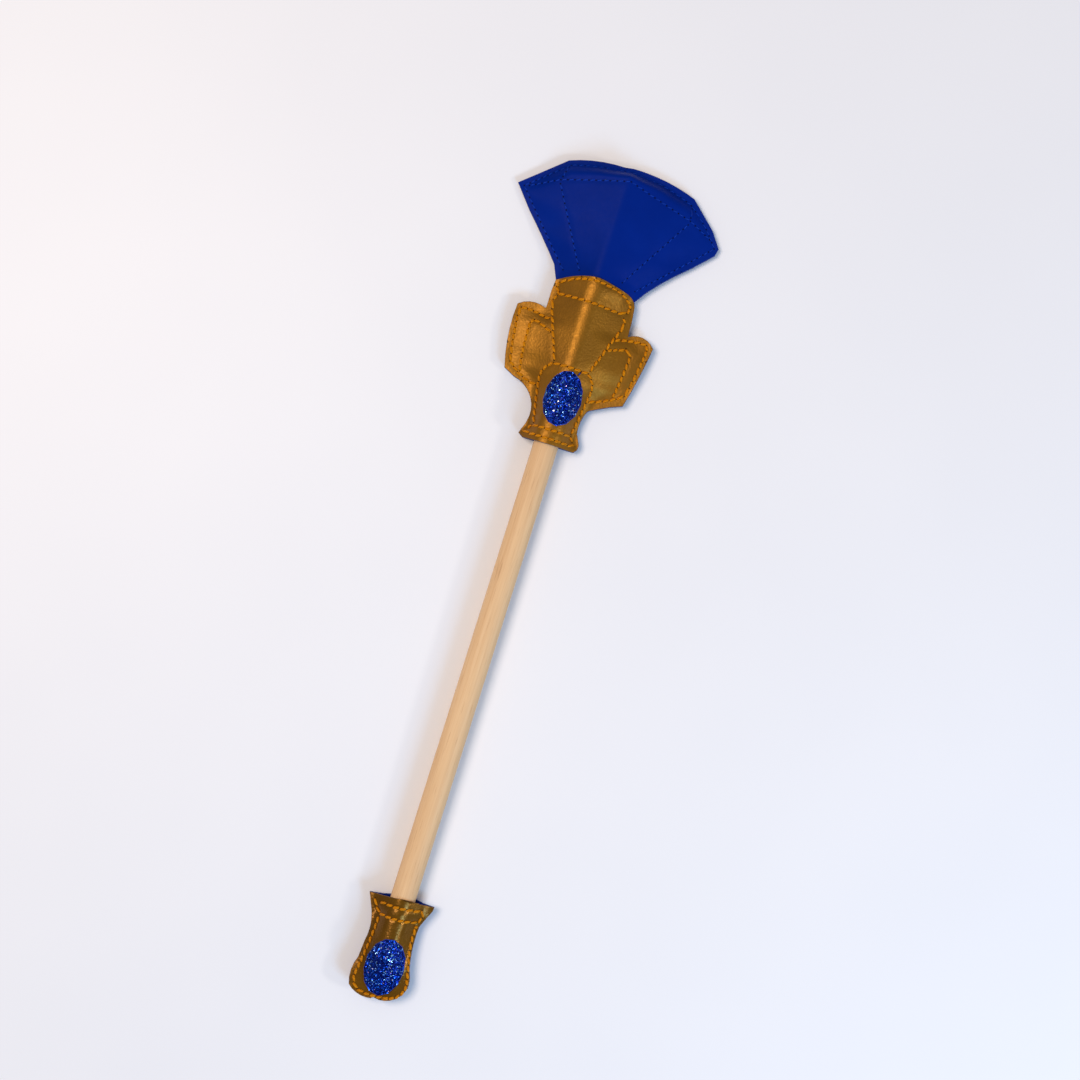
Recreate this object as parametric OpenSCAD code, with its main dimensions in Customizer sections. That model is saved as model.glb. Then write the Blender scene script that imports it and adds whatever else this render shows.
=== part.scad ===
// Dress-up wand: a round wooden stick, a sewn fan-and-crest head and a sewn pommel.
// The wand lies on its back. +Y runs along the stick to the head, +X to its right, +Z up.
// The sheets are cut by hand, so the left and right outlines differ a little.

/* [Stick] */
// Diameter of the round stick, 3/8 in
dowel_d = 9.525; // [8:0.025:10]
// Length of the stick, 12 in
dowel_len = 304.8; // [290:0.2:340]
// Bare stick between the pommel's mouth and the crest's foot
bare_len = 179.4; // [160:0.2:182]
// How far the stick reaches into the pommel
pommel_depth = 22; // [18:0.5:22]
// Chamfer on the stick's two sawn ends
dowel_chamfer = 0.4; // [0.1:0.1:1]

/* [Sheets] */
// Thickness of the soft sheet
sheet_t = 0.9; // [0.6:0.05:1]
// Thickness of the glitter sheet
glitter_t = 0.7; // [0.4:0.05:0.9]
// Clearance round the stick inside the two pockets
pocket_gap = 0.2; // [0.1:0.05:0.3]
// Height at which the head's front and back sheets meet
head_seam_z = 2.4; // [2:0.1:3]
// Height at which the pommel's front and back sheets meet
pommel_seam_z = 5.4; // [4.5:0.1:6]
// Slope of the front sheets beside the stick, in degrees
front_slope = 60; // [52:1:65]
// Slope of the head's back sheet beside the stick, in degrees
head_back_slope = 30; // [25:1:35]

/* [Gems] */
// Half width of the head's gem
head_gem_half_w = 7.3; // [6:0.1:7.4]
// Half height of the head's gem
head_gem_half_h = 10.7; // [9:0.1:10.8]
// Half width of the pommel's gem
pommel_gem_half_w = 7.6; // [6.5:0.1:7.7]
// Half height of the pommel's gem
pommel_gem_half_h = 11.4; // [10:0.1:11.5]
// Straight scissor cuts round each gem
gem_cuts = 13; // [11:1:20]

/* [Stitching] */
// Length of one gold stitch, hole to hole
gold_pitch = 2.6; // [2.2:0.1:3.2]
// Width of a gold stitch
gold_w = 0.9; // [0.6:0.05:1]
// Length of one blue stitch, hole to hole
blue_pitch = 2.5; // [2.2:0.1:3.2]
// Width of a blue stitch
blue_w = 0.5; // [0.3:0.05:0.7]
// How far a stitch stands above its sheet
thread_t = 0.35; // [0.2:0.05:0.5]

/* [Hidden] */
$fn = 64;
STITCH_FILL = 0.86;
FAR = 200;

channel_r = dowel_d / 2 + pocket_gap;
axis_z = sheet_t + channel_r;
head_depth = dowel_len - bare_len - pommel_depth;

// Outlines, from the crest's foot and the pommel's mouth on the stick's axis.
head_top = 109.3;
pommel_bottom = -39.1;
mid = (pommel_bottom - bare_len + head_top) / 2;
head_y = -mid;
pommel_y = head_y - bare_len;

// Where the head's wings begin to sag, and where they come down to the table.
sag_x = 16;
tip_x = 40;

// The stick's end inside each pocket, and where the sheet is flat again beyond it.
head_end = head_depth + 0.5;
head_toe = head_top - 3.1;
pommel_end = -pommel_depth - 0.5;
pommel_toe = -36;
mouth_clear = 6;

FRONT = 1;
BACK = -1;

// ---- curves ----

function centre(a, b, c) =
    let (d = 2 * (a.x * (b.y - c.y) + b.x * (c.y - a.y) + c.x * (a.y - b.y)))
    [
        ((a * a) * (b.y - c.y) + (b * b) * (c.y - a.y) + (c * c) * (a.y - b.y)) / d,
        ((a * a) * (c.x - b.x) + (b * b) * (a.x - c.x) + (c * c) * (b.x - a.x)) / d
    ];

function heading(v) = atan2(v.y, v.x);

function wrap(angle) = angle - 360 * floor(angle / 360);

function turns_left(a, b, c) = (b.x - a.x) * (c.y - b.y) - (b.y - a.y) * (c.x - b.x) > 0;

// Points on the circle through a, b and c, from a up to but not including c.
function arc(a, b, c, n = 6) =
    let (
        o = centre(a, b, c),
        r = norm(a - o),
        start = heading(a - o),
        end = heading(c - o),
        sweep = turns_left(a, b, c) ? wrap(end - start) : -wrap(start - end)
    )
    [for (i = [0:n - 1]) o + r * [cos(start + sweep * i / n), sin(start + sweep * i / n)]];

// A hand-cut oval: straight cuts whose corners lie on an ellipse.
function oval(half_w, half_h, cuts) =
    [for (i = [0:cuts - 1]) [half_w * sin(360 * i / cuts + 7), half_h * cos(360 * i / cuts + 7)]];

// ---- outlines ----

// Right edge of the crest, from its foot up to its shoulder.
CREST_RIGHT = concat(
    [[10.6, 0], [11.8, 1.4], [11.8, 3.5]],
    arc([9.9, 7.3], [9.8, 11.5], [11.3, 16.7]),
    [[11.3, 16.7], [18.2, 20.3]],
    arc([23.2, 22.3], [25.5, 32.6], [27.7, 46.3], 4),
    arc([27.7, 46.3], [24.4, 48.8], [17.3, 47.9], 6),
    [[17.3, 47.9], [17, 54.2], [16.4, 59.2]]
);

// Left edge of the crest, from its shoulder down to its foot.
CREST_LEFT = concat(
    [[-15.2, 60.5], [-15.6, 56.3]],
    arc([-15.5, 49], [-23.4, 49.4], [-26.3, 47.7], 5),
    arc([-26.3, 47.7], [-26.4, 38.3], [-23.8, 23.2], 5),
    [[-23.8, 23.2]],
    arc([-19.4, 21], [-11.5, 15.9], [-9.4, 8.5], 8),
    [[-9.4, 8.5], [-9.8, 5.5], [-11.4, 1.3], [-9.5, 0]]
);

// Top edge of the crest, over the root of the fan, from right to left.
CREST_TOP = concat(
    arc([16.4, 59.2], [15.1, 61.5], [12.6, 62.9], 3),
    arc([12.6, 62.9], [7, 64.1], [0.6, 65], 5),
    arc([0.6, 65], [-7.5, 63.8], [-15.2, 60.5], 5)
);

FAN = concat(
    [[15.7, 61.3]],
    arc([19, 66.1], [25.2, 73.1], [32.3, 79.8], 3),
    [[32.3, 79.8], [39.4, 87.1], [40, 89.9], [35.7, 95.9]],
    arc([25.6, 105.2], [13, 108.4], [0.3, 109.3], 6),
    [[0.3, 109.3]],
    arc([-2.7, 108.8], [-13.1, 108.1], [-24, 105.2], 5),
    [[-24, 105.2], [-40, 91.7]],
    arc([-32.7, 82.9], [-23.2, 72.6], [-14.2, 61.9], 5)
);

HEAD_OUTLINE = concat(CREST_RIGHT, FAN, CREST_LEFT);
CREST_OUTLINE = concat(CREST_RIGHT, CREST_TOP, CREST_LEFT);

POMMEL_OUTLINE = concat(
    [[12.3, 0.5], [8, 0.4], [4, 0.9], [0, 0.9], [-4.4, 0.1], [-8, -0.6], [-12.8, -1.1]],
    arc([-11, -5.2], [-9, -11.1], [-9.1, -19], 6),
    [[-9.1, -19]],
    arc([-9.6, -25.7], [-10.7, -31.4], [-9.8, -36.3], 4),
    arc([-9.8, -36.3], [-5.1, -38.8], [-0.3, -38.9], 5),
    [[-0.3, -38.9], [0.4, -38.2]],
    arc([2.8, -38.6], [8.9, -36.2], [11.7, -31.4], 6),
    arc([11.7, -31.4], [11.7, -29], [10.6, -25.4], 3),
    arc([10.6, -25.4], [8.9, -13], [9, -8.2], 5),
    [[9, -8.2], [10.2, -5.3], [12.1, -1.2]]
);

HEAD_GEM_AT = [0.9, 17.9];
POMMEL_GEM_AT = [1.1, -25.7];
GEM_TACK_INSET = 1.5;

// ---- sewn lines, as points with a needle hole at each ----

BAND_LINE = concat(
    arc([-12.6, 55.6], [0.7, 55.3], [13.4, 55.1], 10),
    [[14.3, 56.1], [14.9, 58.1]],
    arc([14.4, 59.6], [11.2, 61.8], [6.1, 63], 4),
    arc([6.1, 63], [-0.8, 63.6], [-8.2, 62.3], 6),
    [[-8.2, 62.3], [-11, 61.2], [-13.4, 59.9], [-14.1, 58], [-12.9, 56.2]]
);
LEFT_BODY_LINE = [[-12.7, 54.7], [-13.9, 53.1], [-13.2, 49.3], [-11.3, 44.1], [-9.3, 38.7], [-6.5, 30.8]];
RIGHT_BODY_LINE = [[13.6, 54], [14.7, 52.3], [13.8, 48.6], [11.7, 43.2], [10, 37.7], [7.6, 30.9]];
LEFT_WING_LINE = concat(
    [[-12.8, 45.4]],
    arc([-15, 45.6], [-20.1, 46.8], [-24.5, 46.7], 4),
    [[-24.5, 46.7], [-24.9, 43.3], [-23.5, 31.6], [-22.4, 26]],
    arc([-18.7, 23.1], [-15.1, 21.3], [-10.6, 20.3], 3),
    [[-10.6, 20.3]]
);
LEFT_PANEL_LINE = [
    [-11, 40.7], [-15.9, 42.9], [-18.3, 43.5], [-19.5, 42.1], [-19.3, 34.7], [-18.7, 28.1], [-17.9, 23.5]
];
RIGHT_WING_LINE = concat(
    arc([12.9, 45], [19.6, 46.7], [24.9, 46.9], 5),
    [[24.9, 46.9], [25.7, 44.8], [24.9, 38], [23.6, 29.5], [22.6, 26]],
    arc([20, 24.2], [15, 21.6], [10.3, 20], 4),
    [[10.3, 20]]
);
RIGHT_PANEL_LINE = [
    [11.4, 40.3], [15.2, 41.9], [20.2, 43.2], [20.4, 40.6], [19.8, 33], [19, 26.1], [18.4, 24.4]
];
GEM_FRAME_LINE = concat(
    arc([-6.9, 6.3], [-8.6, 14.5], [-9.8, 21.7], 6),
    arc([-9.8, 21.7], [-9.3, 26.8], [-6.5, 29.7], 4),
    [[-6.5, 29.7]],
    arc([7.3, 29.7], [9.8, 26.6], [10, 21.7], 4),
    arc([10, 21.7], [9, 14.5], [7.8, 6.4], 6),
    [[7.8, 6.4]]
);
FOOT_LINE = [[-9.9, 2], [-7.2, 5.3], [7.8, 5.4], [10.3, 2], [-9.9, 2]];

FAN_EDGE_LINE = concat(
    arc([14.6, 65], [25.2, 75.9], [38.3, 89.5], 14),
    arc([38.3, 89.5], [33.5, 95.3], [25.3, 102.4], 7),
    arc([25.3, 102.4], [13.4, 106], [0.2, 107.4], 10),
    arc([0.2, 107.4], [-12.5, 105.9], [-22.5, 103.6], 9),
    [[-22.5, 103.6]],
    arc([-37.4, 91.2], [-25.8, 78.1], [-13.7, 64.8], 14),
    [[-13.7, 64.8]]
);
FAN_FACET_LINE = concat(
    [[-35.5, 91.7]],
    arc([-24.6, 96.8], [-9.9, 100.4], [1.1, 102.9], 10),
    arc([1.1, 102.9], [13, 99.7], [26.6, 96.4], 10),
    [[26.6, 96.4], [35.7, 92.3]]
);
LEFT_TIE_LINE = [[-23.1, 102.6], [-24.2, 98.1]];
RIGHT_TIE_LINE = [[25.9, 101.3], [26.4, 97.6]];
LEFT_RIB_LINE = [[-24.3, 95.3], [-7.7, 66]];
RIGHT_RIB_LINE = [[26.2, 94.8], [9.1, 66.4]];

POMMEL_EDGE_LINE = concat(
    [[8, -8]],
    arc([7.9, -9], [8.1, -16.3], [9.5, -22.8], 5),
    [[9.5, -22.8]],
    arc([10.6, -28.1], [9.9, -34.6], [6.1, -37], 5),
    arc([6.1, -37], [1.3, -37.7], [-3.5, -37.7], 4),
    arc([-3.5, -37.7], [-7.5, -36.1], [-8.9, -32.2], 3),
    arc([-8.9, -32.2], [-7.1, -18.7], [-6.5, -8.6], 9),
    [[-6.5, -8.6]]
);
POMMEL_BAND_LINE = [[-6.7, -7.4], [7.9, -6.8], [10.4, -2.1], [-10.4, -3.3], [-6.7, -7.4]];
THREAD_TAIL = [[3.8, 28], [4.4, 29.1]];

// ---- sheets bent over the stick ----

// Everything between two stations along the stick, for a section drawn across it.
module along(y0, y1) {
    translate([0, y1, 0])
        rotate([90, 0, 0])
            linear_extrude(y1 - y0)
                children();
}

// The inside of the fold over the stick. "axis" is the stick's height above the seam.
module bulge(off, axis, slope) {
    r = channel_r + off;
    foot_x = (r + (axis - off) * cos(slope)) / sin(slope);
    polygon([
        [-foot_x, off - 1],
        [-foot_x, off],
        [-r * sin(slope), axis + r * cos(slope)],
        [r * sin(slope), axis + r * cos(slope)],
        [foot_x, off],
        [foot_x, off - 1]
    ]);
    intersection() {
        translate([0, axis])
            circle(r);
        translate([-r, off - 1])
            square([2 * r, 2 * r]);
    }
}

// The flat of the sheet, sagging by "sag" from the wings' root to their tips.
module flat(off, sag) {
    edge = FAR + off;
    polygon([
        [-edge, -edge],
        [-edge, off - sag],
        [-tip_x, off - sag],
        [-sag_x, off],
        [sag_x, off],
        [tip_x, off - sag],
        [edge, off - sag],
        [edge, -edge]
    ]);
}

// The inside of the whole fold: open at the pocket's mouth, and past the stick's end
// cut off by a slope that runs down to the flat of the sheet.
module fold(off, axis, slope, mouth_y, end_y, toe_y) {
    crown = axis + channel_r;
    low = off - 2;
    high = crown + off + 1;
    out = toe_y > end_y ? 1 : -1;
    lean = (toe_y - end_y) / crown;
    shift = out * off * norm([1, lean]);
    low_y = end_y + lean * (crown - low) + shift;
    high_y = end_y + lean * (crown - high) + shift;
    intersection() {
        along(min(mouth_y, low_y), max(mouth_y, low_y))
            bulge(off, axis, slope);
        rotate([90, 0, 90])
            linear_extrude(6 * channel_r, center = true)
                polygon([[mouth_y - out, low], [low_y, low], [high_y, high], [mouth_y - out, high]]);
    }
}

// All that lies inside a surface "off" outside the pocket, on the front or the back.
module inside(off, side, seam_z, slope, sag, mouth_y, end_y, toe_y) {
    translate([0, 0, seam_z])
        scale([1, 1, side])
            union() {
                along(-FAR - off, FAR + off)
                    flat(off, side * sag);
                fold(off, side * (axis_z - seam_z), slope, mouth_y, end_y, toe_y);
            }
}

// One layer of the head between two offsets from its pocket.
module head_layer(inner, outer, side = FRONT) {
    slope = side == FRONT ? front_slope : head_back_slope;
    sag = head_seam_z - sheet_t - thread_t;
    difference() {
        inside(outer, side, head_seam_z, slope, sag, -mouth_clear, head_end, head_toe);
        inside(inner, side, head_seam_z, slope, sag, -mouth_clear - 1, head_end, head_toe);
    }
}

// One layer of the pommel between two offsets from its pocket.
module pommel_layer(inner, outer, side = FRONT) {
    z = pommel_seam_z;
    difference() {
        inside(outer, side, z, front_slope, 0, mouth_clear, pommel_end, pommel_toe);
        inside(inner, side, z, front_slope, 0, mouth_clear + 1, pommel_end, pommel_toe);
    }
}

module cut_to(outline) {
    intersection() {
        linear_extrude(40, center = true)
            polygon(outline);
        children();
    }
}

module on_head() {
    translate([0, head_y, 0])
        children();
}

module on_pommel() {
    translate([0, pommel_y, 0])
        children();
}

// ---- stitches ----

// The outline of one stitch between its two needle holes.
module stitch(a, b, width) {
    half = norm(b - a) / 2 * STITCH_FILL;
    translate((a + b) / 2)
        rotate(heading(b - a))
            polygon([
                [-half, 0],
                [-half * 0.7, -width / 2],
                [half * 0.7, -width / 2],
                [half, 0],
                [half * 0.7, width / 2],
                [-half * 0.7, width / 2]
            ]);
}

// A row of equal stitches along each leg of a sewn line.
module row(line, pitch, width) {
    for (leg = [0:len(line) - 2]) {
        a = line[leg];
        b = line[leg + 1];
        count = max(1, round(norm(b - a) / pitch));
        for (i = [0:count - 1])
            linear_extrude(40, center = true)
                stitch(a + (b - a) * i / count, a + (b - a) * (i + 1) / count, width);
    }
}

module sewn(line, pitch, width) {
    intersection() {
        row(line, pitch, width);
        children();
    }
}

module gold_row(line) {
    on_head()
        sewn(line, gold_pitch, gold_w)
            head_layer(2 * sheet_t, 2 * sheet_t + thread_t);
}

module blue_row(line) {
    on_head()
        sewn(line, blue_pitch, blue_w)
            head_layer(sheet_t, sheet_t + thread_t);
}

module pommel_row(line) {
    on_pommel()
        sewn(line, gold_pitch, gold_w)
            pommel_layer(sheet_t, sheet_t + thread_t);
}

function closed(line) = concat(line, [line[0]]);

function shifted(line, by) = [for (p = line) p + by];

HEAD_GEM = shifted(oval(head_gem_half_w, head_gem_half_h, gem_cuts), HEAD_GEM_AT);
POMMEL_GEM = shifted(oval(pommel_gem_half_w, pommel_gem_half_h, gem_cuts), POMMEL_GEM_AT);
HEAD_TACK = shifted(
    oval(head_gem_half_w - GEM_TACK_INSET, head_gem_half_h - GEM_TACK_INSET, 18),
    HEAD_GEM_AT
);
POMMEL_TACK = shifted(
    oval(pommel_gem_half_w - GEM_TACK_INSET, pommel_gem_half_h - GEM_TACK_INSET, 20),
    POMMEL_GEM_AT
);

// ---- colours ----

WOOD = "burlywood";
BLUE_SHEET = "mediumblue";
BLUE_GLITTER = "royalblue";
BLUE_THREAD = "navy";
GOLD_SHEET = "darkgoldenrod";
GOLD_THREAD = "orange";

// ---- the pieces ----

module dowel() {
    y0 = pommel_y - pommel_depth;
    color(WOOD)
        translate([0, y0, axis_z])
            rotate([-90, 0, 0])
                rotate_extrude()
                    polygon([
                        [0, 0],
                        [dowel_d / 2 - dowel_chamfer, 0],
                        [dowel_d / 2, dowel_chamfer],
                        [dowel_d / 2, dowel_len - dowel_chamfer],
                        [dowel_d / 2 - dowel_chamfer, dowel_len],
                        [0, dowel_len]
                    ]);
}

module head_back() {
    color(BLUE_SHEET)
        on_head()
            cut_to(HEAD_OUTLINE)
                head_layer(0, sheet_t, BACK);
}

module head_front() {
    color(BLUE_SHEET)
        on_head()
            cut_to(HEAD_OUTLINE)
                head_layer(0, sheet_t);
}

module crest_plate() {
    color(GOLD_SHEET)
        on_head()
            cut_to(CREST_OUTLINE)
                head_layer(sheet_t, 2 * sheet_t);
}

module head_gem() {
    color(BLUE_GLITTER)
        on_head()
            cut_to(HEAD_GEM)
                head_layer(2 * sheet_t, 2 * sheet_t + glitter_t);
}

module head_gem_stitching() {
    top = 2 * sheet_t + glitter_t;
    color(BLUE_THREAD)
        on_head() {
            sewn(closed(HEAD_TACK), blue_pitch, blue_w)
                head_layer(top, top + thread_t);
            sewn(THREAD_TAIL, blue_pitch, blue_w)
                head_layer(2 * sheet_t, 2 * sheet_t + thread_t);
        }
}

module fan_edge_stitching() {
    color(BLUE_THREAD)
        blue_row(FAN_EDGE_LINE);
}

module fan_facet_stitching() {
    color(BLUE_THREAD) {
        blue_row(FAN_FACET_LINE);
        blue_row(LEFT_TIE_LINE);
        blue_row(RIGHT_TIE_LINE);
    }
}

module fan_left_rib_stitching() {
    color(BLUE_THREAD)
        blue_row(LEFT_RIB_LINE);
}

module fan_right_rib_stitching() {
    color(BLUE_THREAD)
        blue_row(RIGHT_RIB_LINE);
}

module crest_band_stitching() {
    color(GOLD_THREAD)
        gold_row(closed(BAND_LINE));
}

module crest_left_body_stitching() {
    color(GOLD_THREAD)
        gold_row(LEFT_BODY_LINE);
}

module crest_right_body_stitching() {
    color(GOLD_THREAD)
        gold_row(RIGHT_BODY_LINE);
}

module left_wing_stitching() {
    color(GOLD_THREAD)
        gold_row(LEFT_WING_LINE);
}

module left_panel_stitching() {
    color(GOLD_THREAD)
        gold_row(LEFT_PANEL_LINE);
}

module right_wing_stitching() {
    color(GOLD_THREAD)
        gold_row(RIGHT_WING_LINE);
}

module right_panel_stitching() {
    color(GOLD_THREAD)
        gold_row(RIGHT_PANEL_LINE);
}

module gem_frame_stitching() {
    color(GOLD_THREAD)
        gold_row(GEM_FRAME_LINE);
}

module crest_foot_stitching() {
    color(GOLD_THREAD)
        gold_row(FOOT_LINE);
}

// The back of the seam that joins the head's front to its back.
module head_back_stitching() {
    color(BLUE_THREAD)
        on_head()
            for (line = [FAN_EDGE_LINE, LEFT_WING_LINE, RIGHT_WING_LINE])
                sewn(line, blue_pitch, blue_w)
                    head_layer(sheet_t, sheet_t + thread_t, BACK);
}

module pommel_back() {
    color(BLUE_SHEET)
        on_pommel()
            cut_to(POMMEL_OUTLINE)
                pommel_layer(0, sheet_t, BACK);
}

module pommel_front() {
    color(GOLD_SHEET)
        on_pommel()
            cut_to(POMMEL_OUTLINE)
                pommel_layer(0, sheet_t);
}

module pommel_gem() {
    color(BLUE_GLITTER)
        on_pommel()
            cut_to(POMMEL_GEM)
                pommel_layer(sheet_t, sheet_t + glitter_t);
}

module pommel_gem_stitching() {
    top = sheet_t + glitter_t;
    color(BLUE_THREAD)
        on_pommel()
            sewn(closed(POMMEL_TACK), blue_pitch, blue_w)
                pommel_layer(top, top + thread_t);
}

module pommel_edge_stitching() {
    color(GOLD_THREAD)
        pommel_row(POMMEL_EDGE_LINE);
}

module pommel_band_stitching() {
    color(GOLD_THREAD)
        pommel_row(POMMEL_BAND_LINE);
}

module pommel_back_stitching() {
    color(BLUE_THREAD)
        on_pommel()
            sewn(POMMEL_EDGE_LINE, gold_pitch, blue_w)
                pommel_layer(sheet_t, sheet_t + thread_t, BACK);
}

dowel();
head_back();
head_front();
crest_plate();
head_gem();
head_gem_stitching();
fan_edge_stitching();
fan_facet_stitching();
fan_left_rib_stitching();
fan_right_rib_stitching();
crest_band_stitching();
crest_left_body_stitching();
crest_right_body_stitching();
left_wing_stitching();
left_panel_stitching();
right_wing_stitching();
right_panel_stitching();
gem_frame_stitching();
crest_foot_stitching();
head_back_stitching();
pommel_back();
pommel_front();
pommel_gem();
pommel_gem_stitching();
pommel_edge_stitching();
pommel_band_stitching();
pommel_back_stitching();
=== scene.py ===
# A dress-up wand: a round wooden stick with a sewn fan-and-crest head and a sewn pommel.
# Pieces are modelled in millimetres in the part's own frame and turned into metres at the end.
import bmesh
import bpy
import math
import random
from mathutils import Euler, Matrix, Vector, kdtree, noise


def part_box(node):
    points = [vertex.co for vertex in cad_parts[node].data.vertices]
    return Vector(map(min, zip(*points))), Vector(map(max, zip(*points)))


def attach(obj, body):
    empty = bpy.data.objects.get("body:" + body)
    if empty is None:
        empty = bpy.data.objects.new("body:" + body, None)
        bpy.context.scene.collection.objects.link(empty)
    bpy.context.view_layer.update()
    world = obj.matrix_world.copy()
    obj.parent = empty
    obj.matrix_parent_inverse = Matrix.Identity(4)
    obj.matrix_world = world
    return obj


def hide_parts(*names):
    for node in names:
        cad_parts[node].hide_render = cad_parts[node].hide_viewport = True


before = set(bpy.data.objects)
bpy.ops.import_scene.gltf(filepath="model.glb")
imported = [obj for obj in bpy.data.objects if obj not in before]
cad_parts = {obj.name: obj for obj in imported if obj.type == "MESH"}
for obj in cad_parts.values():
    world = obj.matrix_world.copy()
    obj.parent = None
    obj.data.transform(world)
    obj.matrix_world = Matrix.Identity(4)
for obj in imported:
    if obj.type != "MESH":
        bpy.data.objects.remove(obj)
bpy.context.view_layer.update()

MM = 0.001

# ---- sizes taken from the frame, in millimetres ----

stick_low, stick_high = (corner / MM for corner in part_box("dowel"))
STICK_R = (stick_high.x - stick_low.x) / 2
STICK_Z = (stick_high.z + stick_low.z) / 2
POCKET_R = STICK_R + 0.2
HEAD_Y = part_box("crest_plate")[0].y / MM
POMMEL_MOUTH_RISE = 0.9
POMMEL_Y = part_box("pommel_front")[1].y / MM - POMMEL_MOUTH_RISE
STICK_END_IN_POMMEL = stick_low.y - POMMEL_Y

# ---- sheets and threads, in millimetres ----

VINYL_T = 0.9
GOLD_T = 0.9
GLITTER_T = 0.7
LAYER_GAP = 0.04
FAN_FACE = VINYL_T
CREST_FACE = VINYL_T + GOLD_T + LAYER_GAP
HEAD_GEM_FACE = CREST_FACE + GLITTER_T + LAYER_GAP
POMMEL_FACE = GOLD_T
POMMEL_GEM_FACE = POMMEL_FACE + GLITTER_T + LAYER_GAP

RIM_ROUND = 0.14
RIM_CORNER = 0.09
GRID_SNAP = 0.08

GOLD_THREAD_W = 1.2
BLUE_THREAD_W = 0.62
# How much of the way between its two needle holes a stitch covers, in the frame and in the scene.
FRAME_STITCH_SHARE = 0.86
GOLD_THREAD_SHARE = 1.04
BLUE_THREAD_SHARE = 0.74
STITCH_SLANT = 0.18
SLANT_LUCK = 0.06
WIDTH_LUCK = 0.08
# Needle holes are shallow plugs painted dark as the shade inside each hole.
NEEDLE_HOLE_R = 0.36
NEEDLE_HOLE_DEPTH = 0.16
# How a seam pulls the sheets in beside it.
PUCKER_DEPTH = 0.2
PUCKER_REACH = 0.75

# ---- places on the head and pommel, in millimetres from the crest's foot and the pommel's mouth ----

# Half width of the tent over the stick, by distance from the crest's foot.
HEAD_TENT = [
    (-5, 10.4), (0.5, 10.2), (5.5, 7.7), (14, 9.2), (21, 10.6), (27, 15.5), (34, 19), (42, 19),
    (47.5, 14.6), (60, 13.8), (66, 15.4), (78, 26), (90, 37), (112, 37),
]
# Half width of the tent over the stick, by distance from the pommel's mouth.
POMMEL_TENT = [
    (-41, 8), (-36, 9), (-32, 10), (-25, 9.1), (-19, 8.2), (-12, 7.5), (-7.5, 7.4), (-2.5, 10.2), (3, 10.6),
]
# The sewn line along the fan's top edge.
FAN_TOP_SEAM = [
    (-42, 87), (-37.4, 91.2), (-22.5, 103.6), (-12.5, 105.9), (0.2, 107.4), (13.4, 106), (25.3, 102.4),
    (33.5, 95.3), (38.3, 89.5), (42, 84.4),
]
FAN_TOP_RUN = 3.7
POMMEL_TOE = -37.2

# Height of the sewn seam where the front and back sheets meet, and how it tilts.
HEAD_SEAM_Z = 2.75
HEAD_TILT = 0.013
TIP_DROOP = 1.05
POMMEL_SEAM_Z = 4.75
POMMEL_LIFT = 0.04
POMMEL_TILT = 0.012
# Roundings where a sheet leaves its flat to go over the stick.
BODY_FILLET = 1.2
WAIST_FILLET = 3.2
HEAD_BACK_FILLET = 0.9
POMMEL_FRONT_FILLET = 1.4
POMMEL_BACK_FILLET = 1.2


# ---- the shape that the sheets take over the stick ----

def ease(t):
    """0 to 1 with a soft start and end."""
    t = min(max(t, 0), 1)
    return t * t * (3 - 2 * t)


def straight(t):
    return t


def read_off(points, at, bend=ease):
    """The value at one place along a list of stations, easing from each one to the next."""
    if at <= points[0][0]:
        return points[0][1]
    for (x0, y0), (x1, y1) in zip(points, points[1:]):
        if at <= x1:
            return y0 + (y1 - y0) * bend((at - x0) / (x1 - x0))
    return points[-1][1]


def mound(x, y, at, reach):
    """A smooth hill, 1 high at its top."""
    return math.exp(-((x - at[0]) / reach[0]) ** 2 - ((y - at[1]) / reach[1]) ** 2)


def over_stick(x, half, rise, off, fillet):
    """How far a sheet "off" outside the pocket stands off its flat, "rise" below the stick's axis."""
    radius = POCKET_R + off
    reach = math.hypot(half, rise)
    slope = math.atan2(rise, half) + math.asin(min(POCKET_R / reach, 0.995))
    if abs(x) < radius * math.sin(slope):
        top = rise + math.sqrt(radius * radius - x * x)
    else:
        top = rise + radius / math.cos(slope) - abs(x) * math.tan(slope)
    blend = max(1 - abs(top - off) / fillet, 0)
    return max(top - off, 0) + blend * blend * fillet / 4


def head_seam(x, y):
    """Height at which the head's front and back sheets meet."""
    droop = ease((abs(x) - 12) / 28)
    right_wing = 0.8 * mound(x, y, (27, 38), (9, 12))
    left_wing = 0.6 * mound(x, y, (-28, 37), (8, 13))
    return HEAD_SEAM_Z + HEAD_TILT * x - TIP_DROOP * droop + right_wing + left_wing


def head_crinkle(x, y):
    """Hand-made unevenness of the head's face, with a swell and fine creases right of the crest's band."""
    slow = 0.16 * noise.noise(Vector((x / 13, y / 13, 2.3)))
    patch = mound(x, y, (8.8, 58.4), (5.6, 3.0))
    fine = noise.noise(Vector((x / 0.9, y / 1.3, 0.7))) + noise.noise(Vector((x / 0.5, y / 0.7, 4.1)))
    swell = 1.25 * mound(x, y, (10.5, 61.6), (7, 3.5))
    return slow + swell + 0.15 * patch * fine


def inside_fan_top(x, y):
    """How far a place lies inside the sewn line of the fan's top edge."""
    return (read_off(FAN_TOP_SEAM, x, straight) - y) / (1 + abs(x) / 80)


def head_front(x, y, off):
    """Height of the head's front, for a face that lies "off" outside the seam."""
    seam = head_seam(x, y)
    fillet = BODY_FILLET + WAIST_FILLET * mound(0, y, (0, 36), (1, 13))
    stand = over_stick(x, read_off(HEAD_TENT, y), STICK_Z - seam, off, fillet)
    end = math.sin(min(max((inside_fan_top(x, y) + off * 0.3) / FAN_TOP_RUN, 0), 1) * math.pi / 2)
    return seam + off + stand * end + head_crinkle(x, y) * min(stand / 2, 1)


def head_back(x, y, off):
    seam = head_seam(x, y)
    stand = over_stick(x, read_off(HEAD_TENT, y), seam - STICK_Z, off, HEAD_BACK_FILLET)
    return seam - off - stand * ease(inside_fan_top(x, y) / FAN_TOP_RUN)


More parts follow.
